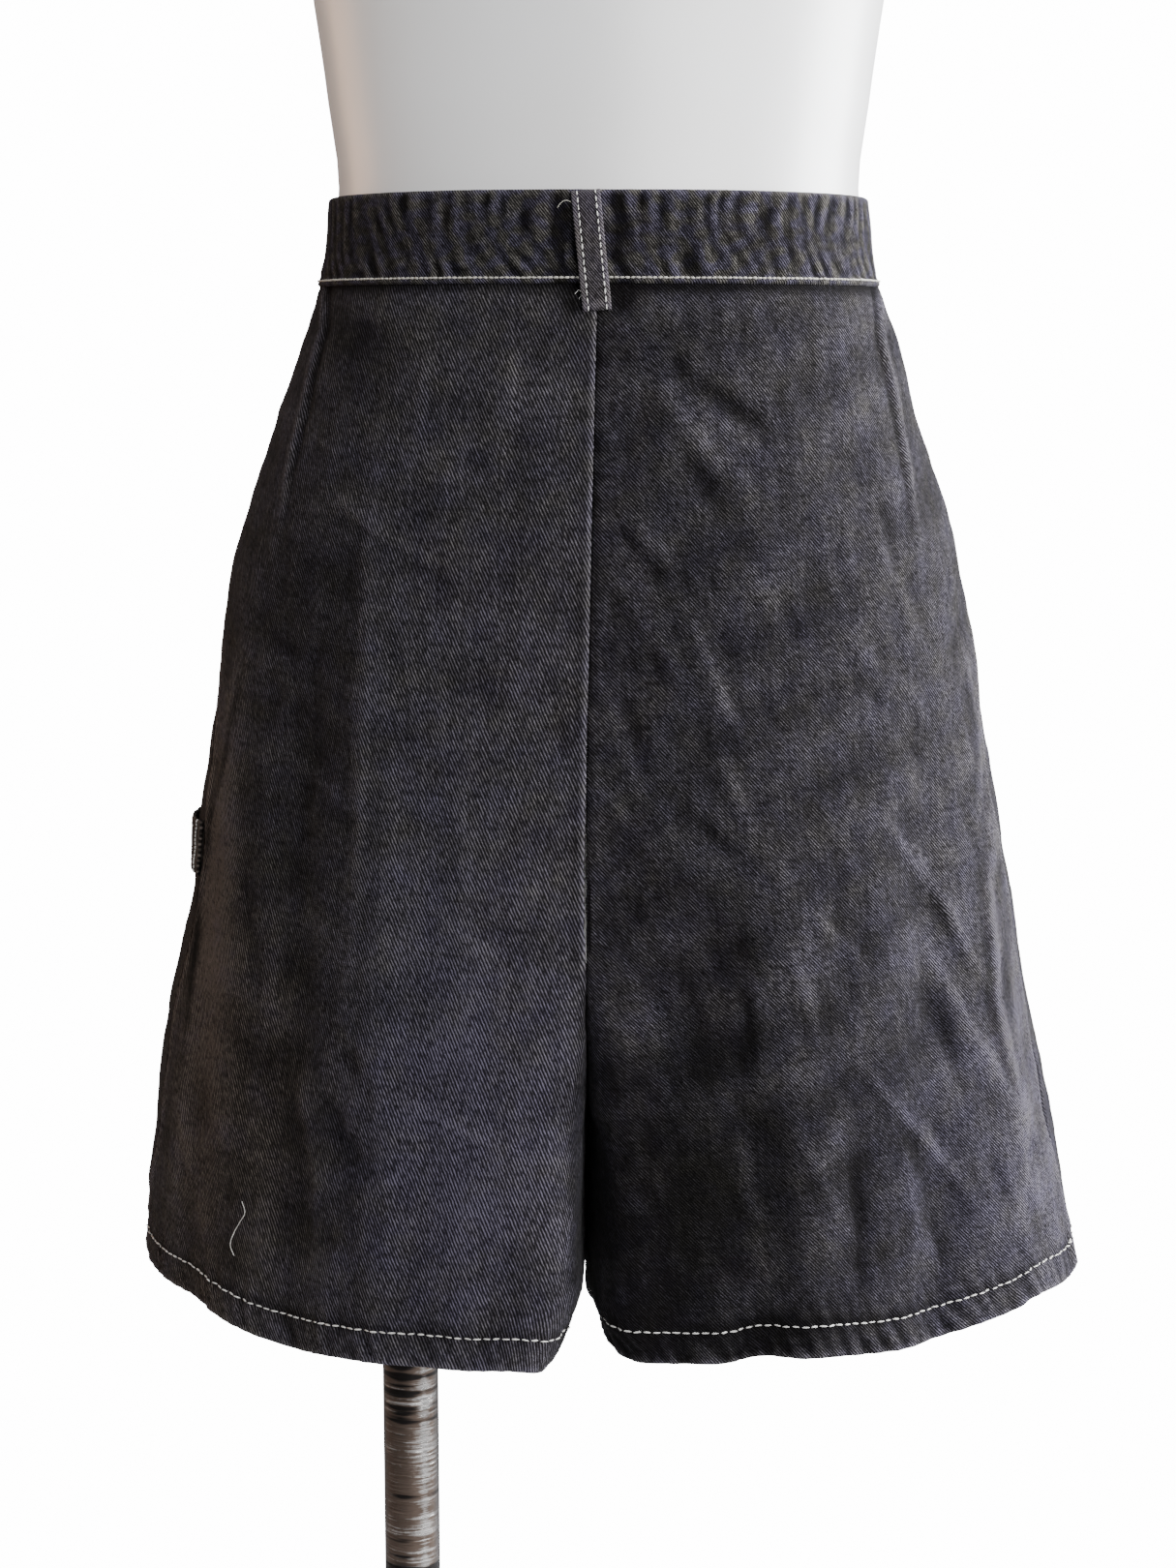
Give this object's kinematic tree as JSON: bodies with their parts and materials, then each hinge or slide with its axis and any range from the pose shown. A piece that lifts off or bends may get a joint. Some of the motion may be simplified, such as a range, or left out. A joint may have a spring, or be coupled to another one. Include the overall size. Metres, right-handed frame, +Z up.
{
  "type": "denim skort on a dress form",
  "caption": "Wide-legged denim skort with a front skirt panel, worn by a limbless dress form that stands on an offset pole and a round plate",
  "frame": {"origin": "centre of the base plate's underside, on the floor", "axes": "+Z up; the garment's back faces -Y and its front +Y; +X is the wearer's right"},
  "size_m": [0.424, 0.33, 1.48],
  "materials": {
    "denim_back": "faded black twill denim",
    "denim_front": "faded black twill denim",
    "denim_skirt": "faded black twill denim",
    "denim_band": "faded black twill denim with worn edges",
    "denim_loop": "paler worn denim strap",
    "button_metal": "antiqued",
    "form_gloss": "high-gloss white",
    "stand_chrome": "polished, lightly scratched"
  },
  "bodies": {
    "root": {"back_left": "denim_back", "back_right": "denim_back", "front_left": "denim_front", "front_right": "denim_front", "front_skirt": "denim_skirt", "waistband": "denim_band", "belt_loop": "denim_loop", "hammer_loop": "denim_skirt", "fly": "denim_skirt", "button": "button_metal", "dress_form": "form_gloss", "pole": "stand_chrome", "pole_flange": "stand_chrome", "pole_socket": "stand_chrome", "base_plate": "stand_chrome"}
  },
  "joints": []
}
